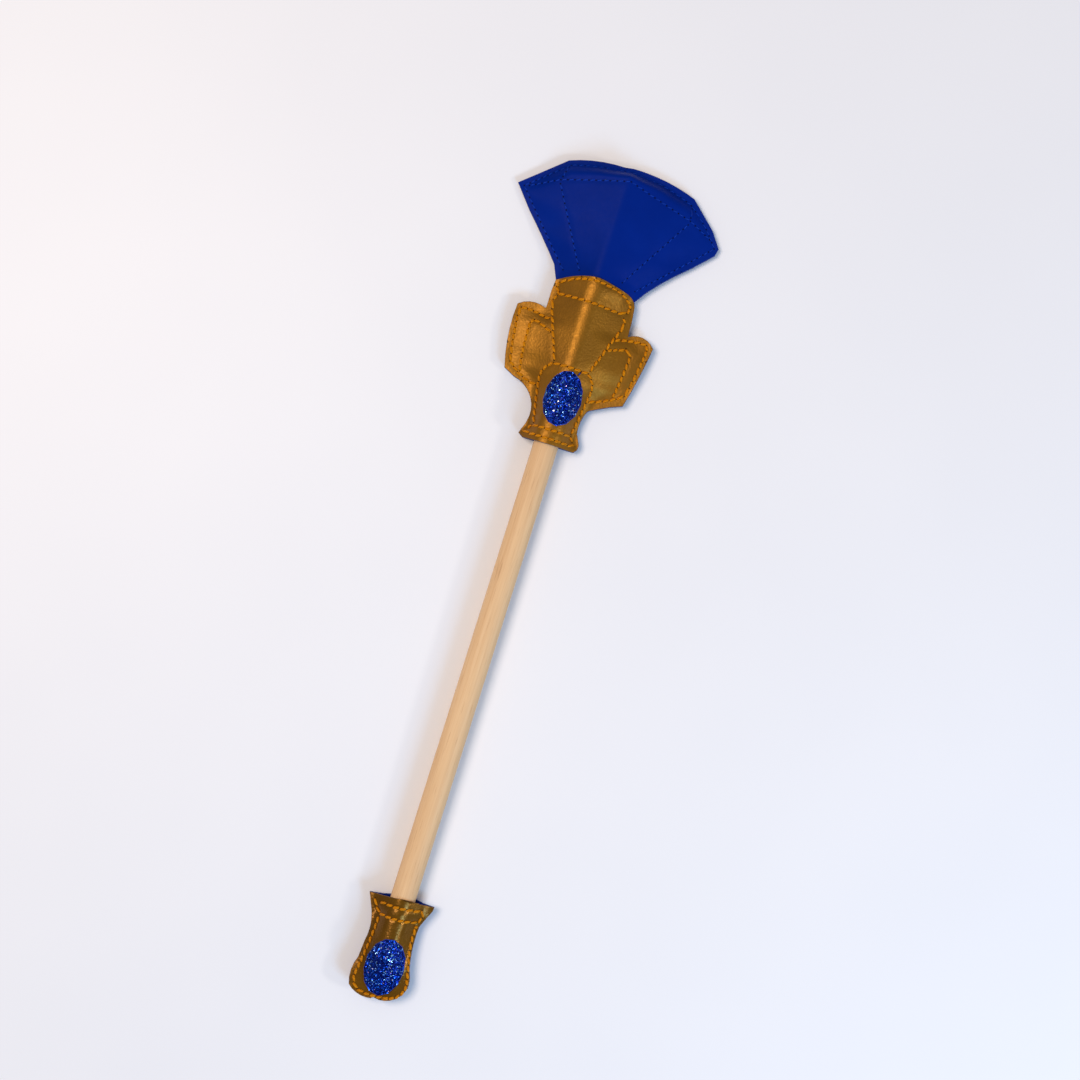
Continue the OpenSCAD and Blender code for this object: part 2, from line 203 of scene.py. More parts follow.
def pommel_seam(x, y):
    """Height at which the pommel's front and back sheets meet."""
    return POMMEL_SEAM_Z - POMMEL_LIFT * y + POMMEL_TILT * x


def pommel_end(y):
    """1 over the stick, down to 0 at the pommel's closed end."""
    return min(max((y - POMMEL_TOE) / (STICK_END_IN_POMMEL - 0.5 - POMMEL_TOE), 0), 1)


def pommel_crinkle(x, y):
    """Hand-made unevenness of the pommel's face, with fine creases at its left shoulder and corner."""
    slow = 0.14 * noise.noise(Vector((x / 8, y / 11, 7.7)))
    corner = mound(x, y, (-8, -34.5), (3, 3)) + mound(x, y, (-8.2, -8), (2.2, 5))
    fine = noise.noise(Vector((x / 0.9, y / 1.1, 1.7)))
    return slow + 0.1 * corner * fine


def pommel_front(x, y, off):
    seam = pommel_seam(x, y)
    stand = over_stick(x, read_off(POMMEL_TENT, y), STICK_Z - seam, off, POMMEL_FRONT_FILLET)
    return seam + off + stand * pommel_end(y) + pommel_crinkle(x, y)


def pommel_back(x, y, off):
    seam = pommel_seam(x, y)
    stand = over_stick(x, read_off(POMMEL_TENT, y), seam - STICK_Z, off, POMMEL_BACK_FILLET)
    return seam - off - stand * pommel_end(y)


class Face:
    """One face of a sheet: where it lies, which way it looks, and the seams that pull it in."""

    def __init__(self, shape, foot_y, off, looks=1):
        self.shape = shape
        self.foot_y = foot_y
        self.off = off
        self.looks = looks
        self.seams = None

    def sewn_along(self, stitches):
        """Lets the seams along some stitches pull the face in."""
        points = [a.lerp(b, i / 6) for a, b in stitches for i in range(7)]
        self.seams = kdtree.KDTree(len(points))
        for i, p in enumerate(points):
            self.seams.insert((p.x, p.y, 0), i)
        self.seams.balance()
        return self

    def height(self, x, y):
        z = self.shape(x, y - self.foot_y, self.off)
        if self.seams is None:
            return z
        away = self.seams.find((x, y, 0))[2]
        return z - self.looks * PUCKER_DEPTH * math.exp(-(away / PUCKER_REACH) ** 2)

    def spot(self, x, y):
        """The point of the face over (x, y) and the direction that it looks in."""
        step = 0.15
        across = self.height(x + step, y) - self.height(x - step, y)
        along = self.height(x, y + step) - self.height(x, y - step)
        normal = Vector((-across, -along, 2 * step)).normalized() * self.looks
        return Vector((x, y, self.height(x, y))), normal


# ---- taking outlines and stitches from the frame ----

def cad_copy(node):
    """A merged copy of a CAD node's mesh, in millimetres."""
    bm = bmesh.new()
    bm.from_mesh(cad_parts[node].data)
    bmesh.ops.scale(bm, vec=(1 / MM,) * 3, verts=bm.verts)
    bmesh.ops.remove_doubles(bm, verts=bm.verts, dist=0.001)
    bm.normal_update()
    return bm


def islands(bm):
    """The separate solids of a mesh, each as its vertices."""
    left = set(bm.verts)
    found = []
    while left:
        reached = [left.pop()]
        solid = []
        while reached:
            v = reached.pop()
            solid.append(v)
            for e in v.link_edges:
                w = e.other_vert(v)
                if w in left:
                    left.discard(w)
                    reached.append(w)
        found.append(solid)
    return found


def stitches_of(node):
    """Each stitch of a node as its two needle holes, seen from above."""
    bm = cad_copy(node)
    found = []
    for solid in islands(bm):
        spots = [Vector((v.co.x, v.co.y)) for v in solid]
        middle = sum(spots, Vector((0, 0))) / len(spots)
        tip = max(spots, key=lambda p: (p - middle).length)
        other = max(spots, key=lambda p: (p - tip).length)
        middle = (tip + other) / 2
        reach = (tip - other) / 2 / FRAME_STITCH_SHARE
        if reach.y < 0:
            reach = -reach
        found.append((middle - reach, middle + reach))
    bm.free()
    return sorted(found, key=lambda s: (round(s[0].x, 2), round(s[0].y, 2)))


def cut_blank(node):
    """The flat outline of a CAD sheet, seen from above, as one face."""
    bm = cad_copy(node)
    hidden = [f for f in bm.faces if f.normal.z < 0.05]
    bmesh.ops.delete(bm, geom=hidden, context="FACES")
    bmesh.ops.scale(bm, vec=(1, 1, 0), verts=bm.verts)
    rim = {e for e in bm.edges if e.is_boundary}
    bmesh.ops.delete(bm, geom=bm.faces[:], context="FACES_ONLY")
    bmesh.ops.delete(bm, geom=[e for e in bm.edges if e not in rim], context="EDGES")
    bmesh.ops.remove_doubles(bm, verts=bm.verts, dist=0.02)
    bmesh.ops.contextual_create(bm, geom=bm.edges[:])
    for f in bm.faces:
        f.normal_update()
        if f.normal.z < 0:
            f.normal_flip()
    return bm


def slice_across(bm, places, normal):
    """Cuts a flat blank by parallel planes, so that it can bend."""
    for place in places:
        whole = bm.verts[:] + bm.edges[:] + bm.faces[:]
        bmesh.ops.bisect_plane(bm, geom=whole, dist=GRID_SNAP, plane_co=normal * place, plane_no=normal)


def places_between(low, high, fine, coarse, fine_half):
    """Cuts close together within fine_half of the middle and wider apart beyond it."""
    places = []
    at = low
    while at < high:
        places.append(at)
        at += fine if abs(at) < fine_half else coarse
    return places


def sheet_mesh(node, face, thickness, fine=0.55, coarse=1.0, fine_half=9):
    """A sheet cut to its node's outline and bent over the stick, with a rounded cut edge."""
    bm = cut_blank(node)
    xs = [v.co.x for v in bm.verts]
    ys = [v.co.y for v in bm.verts]
    slice_across(bm, places_between(min(xs), max(xs), fine, coarse, fine_half), Vector((1, 0, 0)))
    slice_across(bm, places_between(min(ys), max(ys), coarse, coarse, 0), Vector((0, 1, 0)))
    rim = [e for e in bm.edges if e.is_boundary]
    outward = outward_of(rim)
    for v, out in outward.items():
        v.co -= out * RIM_ROUND
    spots = {v: face.spot(v.co.x, v.co.y) for v in bm.verts}
    inner = bmesh.ops.duplicate(bm, geom=bm.faces[:])
    to_inner = {old: new for old, new in inner["vert_map"].items() if old in spots}
    for v, (point, normal) in spots.items():
        v.co = point
        to_inner[v].co = point - normal * thickness
    bmesh.ops.reverse_faces(bm, faces=[f for f in inner["geom"] if isinstance(f, bmesh.types.BMFace)])
    round_rim(bm, rim, outward, spots, thickness)
    bmesh.ops.remove_doubles(bm, verts=bm.verts, dist=0.004)
    if face.looks < 0:
        bmesh.ops.reverse_faces(bm, faces=bm.faces[:])
    bmesh.ops.recalc_face_normals(bm, faces=bm.faces[:])
    return bm


def outward_of(rim):
    """For each vertex of a flat rim, the way out of the sheet."""
    outward = {}
    for e in rim:
        a, b = e.verts
        side = Vector((b.co.y - a.co.y, a.co.x - b.co.x, 0)).normalized()
        if side.dot(e.link_faces[0].calc_center_median() - (a.co + b.co) / 2) > 0:
            side = -side
        for v in e.verts:
            outward[v] = outward.get(v, Vector((0, 0, 0))) + side
    return {v: out.normalized() for v, out in outward.items()}


def round_rim(bm, rim, outward, spots, thickness):
    """The cut edge of a sheet, rounded from its face to its inner side."""
    profile = [
        (RIM_CORNER, 0.05), (RIM_ROUND, 0.2), (RIM_ROUND, thickness - 0.2), (RIM_CORNER, thickness - 0.05),
        (0, thickness),
    ]
    ring = rim
    home = {v: v for v in outward}
    for out, down in profile:
        grown = bmesh.ops.extrude_edge_only(bm, edges=ring)["geom"]
        fresh = [g for g in grown if isinstance(g, bmesh.types.BMVert)]
        ring = [g for g in grown if isinstance(g, bmesh.types.BMEdge)]
        next_home = {}
        for v in fresh:
            behind = next(e.other_vert(v) for e in v.link_edges if e.other_vert(v) in home)
            root = home[behind]
            point, normal = spots[root]
            v.co = point + outward[root] * out - normal * down
            next_home[v] = root
        home = next_home
        for f in {f for e in ring for f in e.link_faces}:
            f.material_index = 1


# ---- stitches ----

def stitch_template(passes):
    """One stitch of several thread passes, lying along X from -1 to 1 and about 1 wide each way."""
    bm = bmesh.new()
    lie_down = Matrix.Rotation(math.pi / 2, 4, "Y")
    for across, up, width in passes:
        before = set(bm.verts)
        bmesh.ops.create_uvsphere(bm, u_segments=6, v_segments=5, radius=1, matrix=lie_down)
        strand = [v for v in bm.verts if v not in before]
        bmesh.ops.scale(bm, vec=(1, width, width), verts=strand)
        for v in strand:
            twist = 1 - v.co.x * v.co.x
            v.co.y += across * (0.35 + 0.65 * twist) + 0.16 * v.co.x
            v.co.z += up * twist
    mesh = bpy.data.meshes.new("stitch_template")
    bm.to_mesh(mesh)
    bm.free()
    return mesh


BEAN_STITCH = stitch_template([(-0.42, 0.0, 0.5), (0.42, 0.05, 0.5), (0.0, 0.42, 0.5)])
RUN_STITCH = stitch_template([(-0.3, 0.0, 0.6), (0.3, 0.25, 0.6)])


def lay_stitch(bm, template, a, b, width, share, face, luck):
    """Adds one stitch from needle hole a to needle hole b, lying on a face."""
    count = len(bm.verts)
    bm.from_mesh(template)
    bm.verts.ensure_lookup_table()
    turn = Matrix.Rotation(STITCH_SLANT + luck.uniform(-SLANT_LUCK, SLANT_LUCK), 2)
    middle = (a + b) / 2
    reach = turn @ ((b - a) / 2)
    fat = width * luck.uniform(1 - WIDTH_LUCK, 1 + WIDTH_LUCK)
    side = Vector((-reach.y, reach.x, 0)).normalized()
    stations = {}
    for v in bm.verts[count:]:
        along = round(v.co.x, 3)
        if along not in stations:
            spot = middle + reach * along * share
            point, normal = face.spot(spot.x, spot.y)
            level = (side - normal * side.dot(normal)).normalized() * face.looks
            stations[along] = point, normal, level
        point, normal, level = stations[along]
        arch = 0.32 - 0.7 * along ** 4
        v.co = point + level * (v.co.y * fat / 2) + normal * (v.co.z * fat / 2 + arch * fat / 2)


def place_hole_shade(bm, spot, face):
    """Adds one needle hole as a shallow plug set into a face, painted dark as the shade inside the hole."""
    point, normal = face.spot(spot.x, spot.y)
    stand = normal.to_track_quat("Z", "Y").to_matrix().to_4x4()
    made = bmesh.ops.create_cone(
        bm, cap_ends=True, segments=8, radius1=NEEDLE_HOLE_R, radius2=NEEDLE_HOLE_R * 0.86,
        depth=NEEDLE_HOLE_DEPTH, matrix=Matrix.Translation(point) @ stand,
    )
    for f in {f for v in made["verts"] for f in v.link_faces}:
        f.material_index = 1


def sewn_mesh(runs, template, width, share, seed):
    """Stitches and the painted shade of their needle holes. Each run is some stitches and the face that
    they lie on.
    """
    luck = random.Random(seed)
    bm = bmesh.new()
    for stitches, face in runs:
        for a, b in stitches:
            lay_stitch(bm, template, a, b, width, share, face, luck)
    for f in bm.faces:
        f.smooth = True
    # Dark plugs of painted shade at the needle holes.
    punched = []
    for stitches, face in runs:
        for spot in (hole for pair in stitches for hole in pair):
            if all((spot - other).length > NEEDLE_HOLE_R * 1.5 for other in punched):
                punched.append(spot)
                place_hole_shade(bm, spot, face)
    return bm


# ---- materials ----

class Finish:
    """A material under construction: its nodes, its coordinates and its shader."""

    def __init__(self, name, **sockets):
        self.material = bpy.data.materials.new(name)
        self.material.use_nodes = True
        self.nodes = self.material.node_tree.nodes
        self.links = self.material.node_tree.links
        self.shader = self.nodes["Principled BSDF"]
        self.place = self.nodes.new("ShaderNodeTexCoord").outputs["Object"]
        for socket, value in sockets.items():
            self.shader.inputs[socket.replace("_", " ")].default_value = value

    def node(self, kind, inputs=(), **settings):
        made = self.nodes.new("ShaderNode" + kind)
        for key, value in settings.items():
            setattr(made, key, value)
        for key, value in dict(inputs).items():
            if isinstance(value, bpy.types.NodeSocket):
                self.links.new(value, made.inputs[key])
            else:
                made.inputs[key].default_value = value
        return made

    def stretched(self, scale, turn=(0, 0, 0)):
        """The object's coordinates, scaled and turned for a grain that runs one way."""
        inputs = {"Vector": self.place, "Scale": scale, "Rotation": turn}
        return self.node("Mapping", inputs).outputs["Vector"]

    def grain(self, scale, detail=3, rough=0.55, at=None):
        inputs = {"Vector": at or self.place, "Scale": scale, "Detail": detail, "Roughness": rough}
        return self.node("TexNoise", inputs).outputs["Fac"]

    def cells(self, scale, feature="F1", output="Distance"):
        inputs = {"Vector": self.place, "Scale": scale, "Randomness": 1.0}
        return self.node("TexVoronoi", inputs, feature=feature).outputs[output]

    def ramp(self, value, stops):
        made = self.node("ValToRGB", {"Fac": value})
        while len(made.color_ramp.elements) < len(stops):
            made.color_ramp.elements.new(0.5)
        for element, (at, colour) in zip(made.color_ramp.elements, stops):
            element.position = at
            element.color = (*colour, 1)
        return made.outputs["Color"]

    def span(self, value, low, high, new_low, new_high):
        """A value taken from one range to another."""
        inputs = {"Value": value, "From Min": low, "From Max": high, "To Min": new_low, "To Max": new_high}
        return self.node("MapRange", inputs).outputs["Result"]

    def mixed(self, share, a, b):
        made = self.node("Mix", data_type="RGBA", blend_type="MIX")
        for key, value in (("Factor_Float", share), ("A_Color", a), ("B_Color", b)):
            socket = next(s for s in made.inputs if s.identifier == key)
            if isinstance(value, bpy.types.NodeSocket):
                self.links.new(value, socket)
            else:
                socket.default_value = value if key == "Factor_Float" else (*value, 1)
        return next(s for s in made.outputs if s.identifier == "Result_Color")

    def colour(self, value):
        self.links.new(value, self.shader.inputs["Base Color"])

    def roughness(self, value):
        self.links.new(value, self.shader.inputs["Roughness"])

    def relief(self, height, depth, strength, below=None):
        """Bumps, laid over those of another relief if one is given."""
        inputs = {"Height": height, "Distance": depth, "Strength": strength}
        if below is not None:
            inputs["Normal"] = below
        made = self.node("Bump", inputs).outputs["Normal"]
        self.links.new(made, self.shader.inputs["Normal"])
        return made


def royal_vinyl():
    """Smooth royal-blue vinyl with a faint uneven gloss."""
    f = Finish("royal_vinyl", IOR=1.09)
    cloud = f.grain(60, 4)
    f.colour(f.ramp(cloud, [(0.3, (0.0005, 0.0145, 0.195)), (0.7, (0.0009, 0.0175, 0.225))]))
    f.roughness(f.span(f.grain(900, 2), 0.3, 0.7, 0.38, 0.5))
    fine = f.relief(f.grain(4200, 3), 0.00002, 0.35)
    f.relief(f.grain(140, 2), 0.0002, 0.3, fine)
    return f.material


def vinyl_cut_edge():
    """The dull cut side of the blue sheet."""
    f = Finish("vinyl_cut_edge", Roughness=0.6)
    f.colour(f.ramp(f.grain(1500, 2), [(0.35, (0.002, 0.018, 0.15)), (0.7, (0.006, 0.04, 0.28))]))
    f.relief(f.grain(3000, 3), 0.00005, 0.5)
    return f.material


def gold_leatherette(name, light, dark, metallic, rough):
    """Pebbled metallic leatherette."""
    f = Finish(name, Metallic=metallic, Specular_IOR_Level=0.3)
    cloud = f.grain(85, 4)
    worn = f.cells(1500)
    tone = f.ramp(cloud, [(0.3, dark), (0.7, light)])
    f.colour(f.mixed(f.span(worn, 0.15, 0.6, 0.0, 0.35), tone, dark))
    f.roughness(f.span(f.grain(700, 3), 0.3, 0.7, rough - 0.05, rough + 0.07))
    pebble = f.cells(1350, "SMOOTH_F1")
    first = f.relief(pebble, 0.00012, 0.55)
    f.relief(f.grain(2600, 3), 0.00005, 0.5, first)
    return f.material


def leatherette_cut_edge():
    """The brown backing that shows at the leatherette's cut side."""
    f = Finish("leatherette_cut_edge", Roughness=0.7)
    f.colour(f.ramp(f.grain(1400, 3), [(0.35, (0.09, 0.034, 0.006)), (0.7, (0.21, 0.1, 0.03))]))
    f.relief(f.grain(2500, 3), 0.00008, 0.6)
    return f.material


def sewing_thread(name, dark, light, turn):
    """Polyester thread with its twist showing across each stitch, as bumps and as painted highlight and
    shade.
    """
    f = Finish(name, Roughness=0.5, Specular_IOR_Level=0.1)
    twist = f.node(
        "TexWave",
        {"Vector": f.stretched((1, 1, 1), (0, 0, turn)), "Scale": 620, "Distortion": 3.5, "Detail": 2},
    ).outputs["Fac"]
    # The dark twist stripes are painted shade in the grooves, and the light ones are painted highlight on
    # the plies.
    tone = f.mixed(twist, dark, light)
    f.colour(f.mixed(f.span(f.grain(380, 2), 0.35, 0.7, 0, 0.5), tone, light))
    f.relief(twist, 0.00008, 0.7)
    return f.material


def needle_hole_shade(name, tone):
    """Painted shade: the dark inside of a needle hole, on a plug that stands for the hole."""
    f = Finish(name, Roughness=0.9, Specular_IOR_Level=0.1)
    f.colour(f.ramp(f.grain(2000, 2), [(0.3, tone), (0.7, tuple(c * 1.6 for c in tone))]))
    return f.material


def glitter_sheet():
    """Dark blue film full of small flakes, each with its own tilt."""
    f = Finish("glitter_sheet", Metallic=0.6, Roughness=0.26, Specular_IOR_Level=0.1)
    flake = f.cells(2300, output="Color")
    parts = f.node("SeparateColor", {"Color": flake})
    blues = [
        (0.0, (0.0003, 0.002, 0.06)), (0.42, (0.0008, 0.006, 0.12)), (0.72, (0.0015, 0.017, 0.25)),
        (0.93, (0.01, 0.1, 0.62)), (0.98, (0.3, 0.55, 0.95)),
    ]
    f.colour(f.ramp(parts.outputs["Red"], blues))
    geometry = f.node("NewGeometry").outputs["Normal"]
    centred = f.node("VectorMath", {0: flake, 1: (0.5, 0.5, 0.5)}, operation="SUBTRACT").outputs[0]
    tilt = f.node("VectorMath", {0: centred}, operation="SCALE")
    tilt.inputs["Scale"].default_value = 0.75
    leaning = f.node("VectorMath", {0: geometry, 1: tilt.outputs[0]}, operation="ADD").outputs[0]
    normal = f.node("VectorMath", {0: leaning}, operation="NORMALIZE").outputs[0]
    f.links.new(normal, f.shader.inputs["Normal"])
    return f.material


def glitter_flake():
    """Loose foil flakes, each with the colour kept on its own vertices."""
    f = Finish("glitter_flake", Metallic=0.7, Roughness=0.2, Specular_IOR_Level=0.1)
    tint = f.node("Attribute", attribute_name="flake_tint").outputs["Color"]
    f.colour(f.mixed(f.span(f.grain(3000, 1), 0.3, 0.7, 0, 0.25), tint, (0.01, 0.04, 0.4)))
    return f.material


def glitter_cut_edge():
    """The side of a glitter oval."""
    f = Finish("glitter_cut_edge", Roughness=0.5, Metallic=0.3)
    flake = f.node("SeparateColor", {"Color": f.cells(2400, output="Color")}).outputs["Red"]
    f.colour(f.ramp(flake, [(0.2, (0.003, 0.02, 0.2)), (0.8, (0.02, 0.1, 0.6))]))
    return f.material


def pale_stick_wood():
    """Pale straight-grained wood with fine pores along the stick."""
    f = Finish("pale_stick_wood", Roughness=0.58, Specular_IOR_Level=0.35)
    broad = f.grain(1.0, 4, 0.6, f.stretched((190, 7, 190)))
    fine = f.grain(1.0, 5, 0.65, f.stretched((1500, 26, 1500)))
    tans = [(0.3, (0.66, 0.395, 0.2)), (0.52, (0.76, 0.49, 0.265)), (0.75, (0.82, 0.57, 0.34))]
    tone = f.ramp(broad, tans)
    streaked = f.mixed(f.span(fine, 0.42, 0.68, 0.0, 0.4), tone, (0.58, 0.33, 0.16))
    pores = f.span(f.grain(1.0, 2, 0.5, f.stretched((2600, 90, 2600))), 0.62, 0.72, 0.0, 0.5)
    f.colour(f.mixed(pores, streaked, (0.42, 0.22, 0.1)))
    f.roughness(f.span(fine, 0.3, 0.7, 0.5, 0.68))
    f.relief(fine, 0.00006, 0.5)
    return f.material


def table_top():
    """Plain white lacquered top."""
    f = Finish("table_top", Roughness=0.38, Specular_IOR_Level=0.25)
    f.colour(f.ramp(f.grain(9, 2), [(0.3, (0.81, 0.81, 0.865)), (0.7, (0.83, 0.828, 0.88))]))
    f.relief(f.grain(600, 2), 0.00001, 0.1)
    return f.material


BLUE = royal_vinyl()
BLUE_EDGE = vinyl_cut_edge()
GOLD = gold_leatherette(
    "gold_leatherette", light=(0.32, 0.134, 0.007), dark=(0.235, 0.097, 0.005), metallic=0.6, rough=0.44,
)
POMMEL_GOLD = gold_leatherette(
    "pommel_leatherette", light=(0.205, 0.086, 0.001), dark=(0.14, 0.056, 0.0006), metallic=0.5, rough=0.24,
)
GOLD_EDGE = leatherette_cut_edge()
# Each thread's dark and light tones are painted shade and painted highlight around its own colour.
GOLD_THREAD = sewing_thread("gold_thread", dark=(0.25, 0.064, 0.0003), light=(0.76, 0.28, 0.001), turn=0.9)
BLUE_THREAD = sewing_thread("blue_thread", dark=(0.0005, 0.014, 0.19), light=(0.001, 0.042, 0.42), turn=0.4)
# Painted shade of the needle holes in the leatherette and in the vinyl.
GOLD_HOLE_SHADE = needle_hole_shade("leatherette_needle_hole", (0.036, 0.012, 0.001))
BLUE_HOLE_SHADE = needle_hole_shade("vinyl_needle_hole", (0.0002, 0.0025, 0.03))
GLITTER = glitter_sheet()
GLITTER_EDGE = glitter_cut_edge()
FLAKE = glitter_flake()
WOOD = pale_stick_wood()


# ---- putting pieces in the scene ----

def put(name, bm, body, materials, nodes=()):
    """Makes a finished bmesh a piece that rides on a body and stands for some CAD nodes."""
    bmesh.ops.scale(bm, vec=(MM,) * 3, verts=bm.verts)
    mesh = bpy.data.meshes.new(name)
    bm.to_mesh(mesh)
    bm.free()
    for material in materials:
        mesh.materials.append(material)
    piece = bpy.data.objects.new(name, mesh)
    bpy.context.scene.collection.objects.link(piece)
    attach(piece, body)
    if nodes:
        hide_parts(*nodes)
    return piece


def put_sheet(name, node, face, thickness, body, slot, materials, **cuts):
    """A smooth sheet with a crisp line round its cut edge."""
    bm = sheet_mesh(node, face, thickness, **cuts)
    for f in bm.faces:
        f.smooth = True
    for e in bm.edges:
        e.smooth = len({f.material_index for f in e.link_faces}) == 1
    return put(name, bm, body, materials, [node])


def put_gold_seam(name, node, face, body, seed):
    """A run of thick three-pass stitches."""
    runs = [(stitches_of(node), face)]
    bm = sewn_mesh(runs, BEAN_STITCH, GOLD_THREAD_W, GOLD_THREAD_SHARE, seed)
    put(name, bm, body, [GOLD_THREAD, GOLD_HOLE_SHADE], [node])


def put_blue_seam(name, node, face, body, seed):
    """A run of thin two-pass stitches."""
    runs = [(stitches_of(node), face)]
    bm = sewn_mesh(runs, RUN_STITCH, BLUE_THREAD_W, BLUE_THREAD_SHARE, seed)
    put(name, bm, body, [BLUE_THREAD, BLUE_HOLE_SHADE], [node])


# ---- the head ----

FAN_SEAMS = [
    "fan_edge_stitching", "fan_facet_stitching", "fan_left_rib_stitching", "fan_right_rib_stitching",
]
CREST_SEAMS = [
    "crest_band_stitching", "crest_left_body_stitching", "crest_right_body_stitching",
    "left_wing_stitching", "left_panel_stitching", "right_wing_stitching", "right_panel_stitching",
    "gem_frame_stitching", "crest_foot_stitching",
]
POMMEL_SEAMS = ["pommel_edge_stitching", "pommel_band_stitching"]


def all_stitches(nodes):
    """The stitches of several nodes in one list."""
    return [s for node in nodes for s in stitches_of(node)]


def build_head():
    sewn = all_stitches(FAN_SEAMS + CREST_SEAMS)
    fan_face = Face(head_front, HEAD_Y, FAN_FACE).sewn_along(sewn)
    crest_face = Face(head_front, HEAD_Y, CREST_FACE).sewn_along(sewn)
    gem_face = Face(head_front, HEAD_Y, HEAD_GEM_FACE)
    back_face = Face(head_back, HEAD_Y, VINYL_T, looks=-1)
    back_face.sewn_along(stitches_of("head_back_stitching"))

    fan = put_sheet(
        "fan_vinyl_front", "head_front", fan_face, VINYL_T, "head", "blue_vinyl", [BLUE, BLUE_EDGE],
        coarse=0.75,
    )
    back = put_sheet(
        "fan_vinyl_back", "head_back", back_face, VINYL_T, "head", "blue_vinyl", [BLUE, BLUE_EDGE],
    )
    crest = put_sheet(
        "crest_leatherette", "crest_plate", crest_face, GOLD_T, "head", "gold_leatherette",
        [GOLD, GOLD_EDGE], coarse=0.8,
    )
    gem = put_sheet(
        "head_gem_glitter", "head_gem", gem_face, GLITTER_T, "head", "blue_glitter",
        [GLITTER, GLITTER_EDGE], coarse=0.7,
    )
    put_flakes("head_gem_flakes", "head_gem", gem_face, "head", 31)

    for i, node in enumerate(FAN_SEAMS):
        put_blue_seam(node.replace("stitching", "thread"), node, fan_face, "head", i)
    for i, node in enumerate(CREST_SEAMS):
        put_gold_seam(node.replace("stitching", "thread"), node, crest_face, "head", 20 + i)
    put_blue_seam("head_back_thread", "head_back_stitching", back_face, "head", 40)
    put_tacks("head_gem_thread", "head_gem_stitching", "head_gem", gem_face, crest_face, "head", 41)


def oval_of(gem_node):
    """The middle and half size of a gem."""
    low, high = (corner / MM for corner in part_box(gem_node))
    return (low + high) / 2, (high - low) / 2


def from_middle(x, y, middle, half):
    """0 at an oval's middle and 1 on its edge, squared."""
    return ((x - middle.x) / half.x) ** 2 + ((y - middle.y) / half.y) ** 2


def put_tacks(name, node, gem_node, gem_face, sheet_face, body, seed):
    """The blue stitches that hold a gem down, and any thread tail that lies beside it."""
    middle, half = oval_of(gem_node)
    on_gem, beside = [], []
    for a, b in stitches_of(node):
        spot = (a + b) / 2
        inside = from_middle(spot.x, spot.y, middle, half) < TACKED_SHARE
        (on_gem if inside else beside).append((a, b))
    runs = [(on_gem, gem_face), (beside, sheet_face)]
    bm = sewn_mesh(runs, RUN_STITCH, BLUE_THREAD_W, BLUE_THREAD_SHARE, seed)
    put(name, bm, body, [BLUE_THREAD, BLUE_HOLE_SHADE], [node])


FLAKE_STEP = 0.62
FLAKE_LEAN = 0.24
FLAKE_R = (0.16, 0.3)
FLAKE_T = 0.05
FLAKE_STAND = 0.06
# Share of a gem's half width, squared, that takes flakes and tack stitches.
FLAKED_SHARE = 0.86
TACKED_SHARE = 0.95
# Up to which draw each colour of flake is used.
FLAKE_TINTS = [
    (0.62, (0.001, 0.01, 0.16)), (0.87, (0.002, 0.025, 0.3)), (0.945, (0.01, 0.11, 0.6)),
    (0.965, (0.3, 0.7, 1.0)), (0.98, (0.7, 0.5, 0.95)), (0.99, (0.45, 0.9, 0.75)), (1.0, (0.9, 0.95, 1.0)),
]


def put_flakes(name, gem_node, face, body, seed):
    """Small foil flakes standing at all angles on a gem."""
    luck = random.Random(seed)
    middle, half = oval_of(gem_node)
    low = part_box(gem_node)[0] / MM
    bm = bmesh.new()
    tint_layer = bm.verts.layers.float_color.new("flake_tint")
    rows = int(2 * half.y / FLAKE_STEP)
    columns = int(2 * half.x / FLAKE_STEP)
    for i in range(rows + 1):
        for j in range(columns + 1):
            x = low.x + (j + luck.uniform(0.1, 0.9)) * FLAKE_STEP
            y = low.y + (i + luck.uniform(0.1, 0.9)) * FLAKE_STEP
            if from_middle(x, y, middle, half) > FLAKED_SHARE:
                continue
            point, normal = face.spot(x, y)
            lean = Euler((luck.gauss(0, FLAKE_LEAN), luck.gauss(0, FLAKE_LEAN), luck.uniform(0, 6.28)))
            stand = normal.to_track_quat("Z", "Y").to_matrix().to_4x4()
            radius = luck.uniform(*FLAKE_R)
            made = bmesh.ops.create_cone(
                bm, cap_ends=True, segments=6, radius1=radius, radius2=radius, depth=FLAKE_T,
                matrix=Matrix.Translation(point + normal * FLAKE_STAND) @ stand @ lean.to_matrix().to_4x4(),
            )
            draw = luck.random()
            tint = next(colour for share, colour in FLAKE_TINTS if draw <= share)
            for v in made["verts"]:
                v[tint_layer] = (*tint, 1)
    put(name, bm, body, [FLAKE])


# ---- the pommel ----

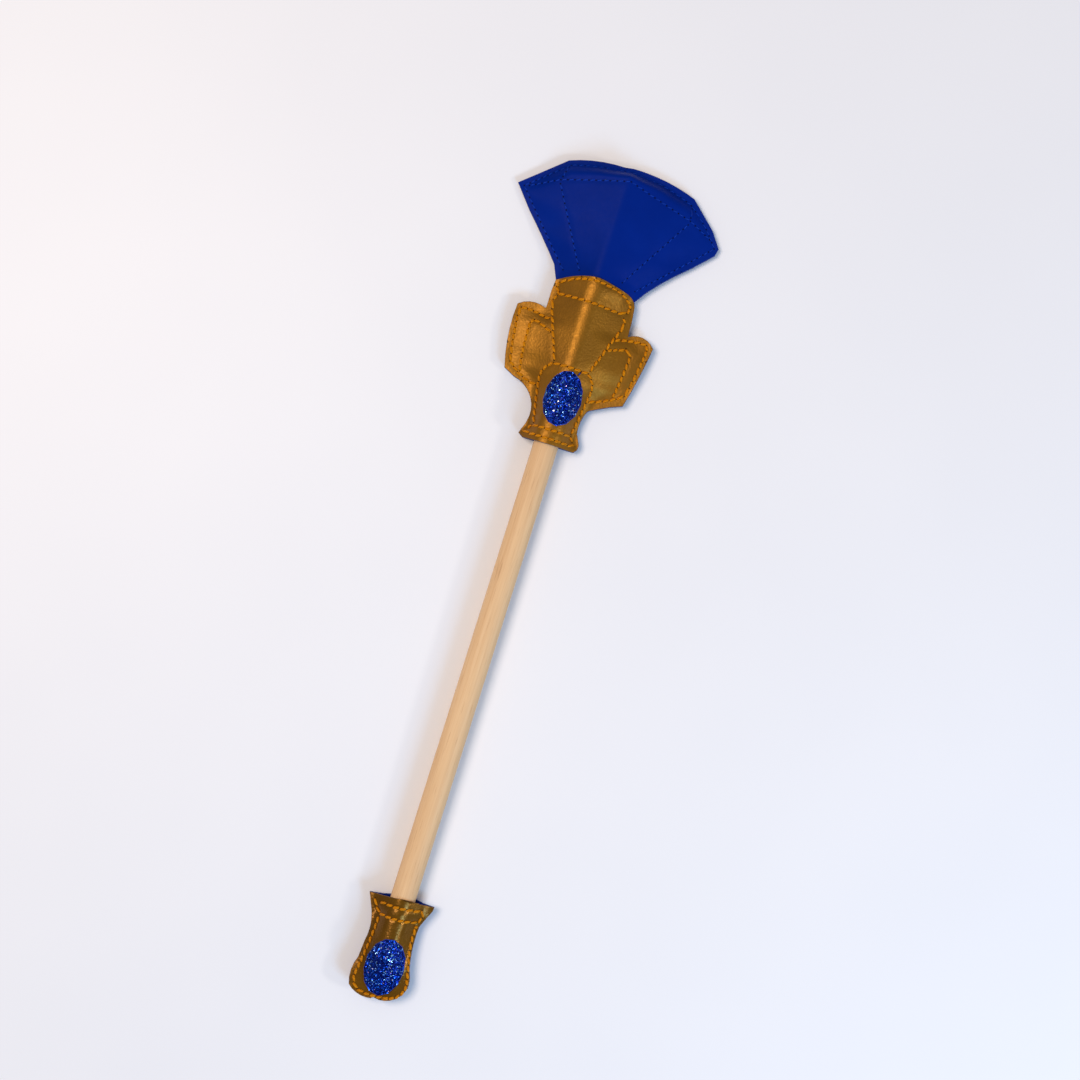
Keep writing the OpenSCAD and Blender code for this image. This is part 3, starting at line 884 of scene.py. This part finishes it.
def build_pommel():
    sewn = all_stitches(POMMEL_SEAMS)
    front_face = Face(pommel_front, POMMEL_Y, POMMEL_FACE).sewn_along(sewn)
    gem_face = Face(pommel_front, POMMEL_Y, POMMEL_GEM_FACE)
    back_face = Face(pommel_back, POMMEL_Y, VINYL_T, looks=-1)
    back_face.sewn_along(stitches_of("pommel_back_stitching"))

    front = put_sheet(
        "pommel_leatherette", "pommel_front", front_face, GOLD_T, "pommel", "gold_leatherette",
        [POMMEL_GOLD, GOLD_EDGE], coarse=0.7,
    )
    back = put_sheet(
        "pommel_vinyl_back", "pommel_back", back_face, VINYL_T, "pommel", "blue_vinyl", [BLUE, BLUE_EDGE],
    )
    gem = put_sheet(
        "pommel_gem_glitter", "pommel_gem", gem_face, GLITTER_T, "pommel", "blue_glitter",
        [GLITTER, GLITTER_EDGE], coarse=0.7,
    )
    put_flakes("pommel_gem_flakes", "pommel_gem", gem_face, "pommel", 57)

    for i, node in enumerate(POMMEL_SEAMS):
        put_gold_seam(node.replace("stitching", "thread"), node, front_face, "pommel", 60 + i)
    put_blue_seam("pommel_back_thread", "pommel_back_stitching", back_face, "pommel", 70)
    put_tacks("pommel_gem_thread", "pommel_gem_stitching", "pommel_gem", gem_face, front_face, "pommel", 71)


build_head()
build_pommel()
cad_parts["dowel"].material_slots[0].material = WOOD


# ---- table, light and camera, in metres ----

TABLE_HALF_M = 6

def lay_table():
    """A plain table top under the wand."""
    bm = bmesh.new()
    bmesh.ops.create_grid(bm, x_segments=2, y_segments=2, size=TABLE_HALF_M)
    mesh = bpy.data.meshes.new("table")
    bm.to_mesh(mesh)
    bm.free()
    mesh.materials.append(table_top())
    table = bpy.data.objects.new("table", mesh)
    bpy.context.scene.collection.objects.link(table)


def hang_light(name, azimuth, elevation, distance, size, power, colour):
    """A soft square light. Azimuth is measured from +X towards +Y."""
    a, e = math.radians(azimuth), math.radians(elevation)
    toward = Vector((math.cos(a) * math.cos(e), math.sin(a) * math.cos(e), math.sin(e)))
    data = bpy.data.lights.new(name, "AREA")
    data.shape = "RECTANGLE"
    data.size, data.size_y = size
    data.energy = power
    data.color = colour
    light = bpy.data.objects.new(name, data)
    light.location = toward * distance
    light.rotation_euler = toward.to_track_quat("Z", "Y").to_euler()
    bpy.context.scene.collection.objects.link(light)


def light_the_table():
    """A large warm lamp on the left, and a small cool window and a strip low on the right."""
    hang_light("warm_lamp", 168, 67, 1.6, (0.68, 0.68), 17.2, (1.0, 0.84, 0.68))
    hang_light("cool_window", -36, 38, 1.15, (0.34, 0.34), 5.2, (0.36, 0.66, 1.0))
    hang_light("pale_strip", -8, 32, 1.15, (0.16, 0.09), 2.2, (1.0, 0.95, 0.84))
    world = bpy.data.worlds.new("room")
    world.use_nodes = True
    room = world.node_tree.nodes["Background"]
    room.inputs["Color"].default_value = (0.83, 0.9, 1.0, 1)
    room.inputs["Strength"].default_value = 0.33
    bpy.context.scene.world = world
    bpy.context.scene.view_settings.view_transform = "Standard"


def set_camera():
    """Nearly straight down, with the wand leaning to the right of upright."""
    data = bpy.data.cameras.new("camera")
    data.lens = 70
    data.sensor_width = 36
    camera = bpy.data.objects.new("camera", data)
    camera.location = (0.0193, 0.0182, 0.7959)
    camera.rotation_euler = [math.radians(turn) for turn in (0.327, 0.707, 17.483)]
    bpy.context.scene.collection.objects.link(camera)
    bpy.context.scene.camera = camera


lay_table()
light_the_table()
set_camera()
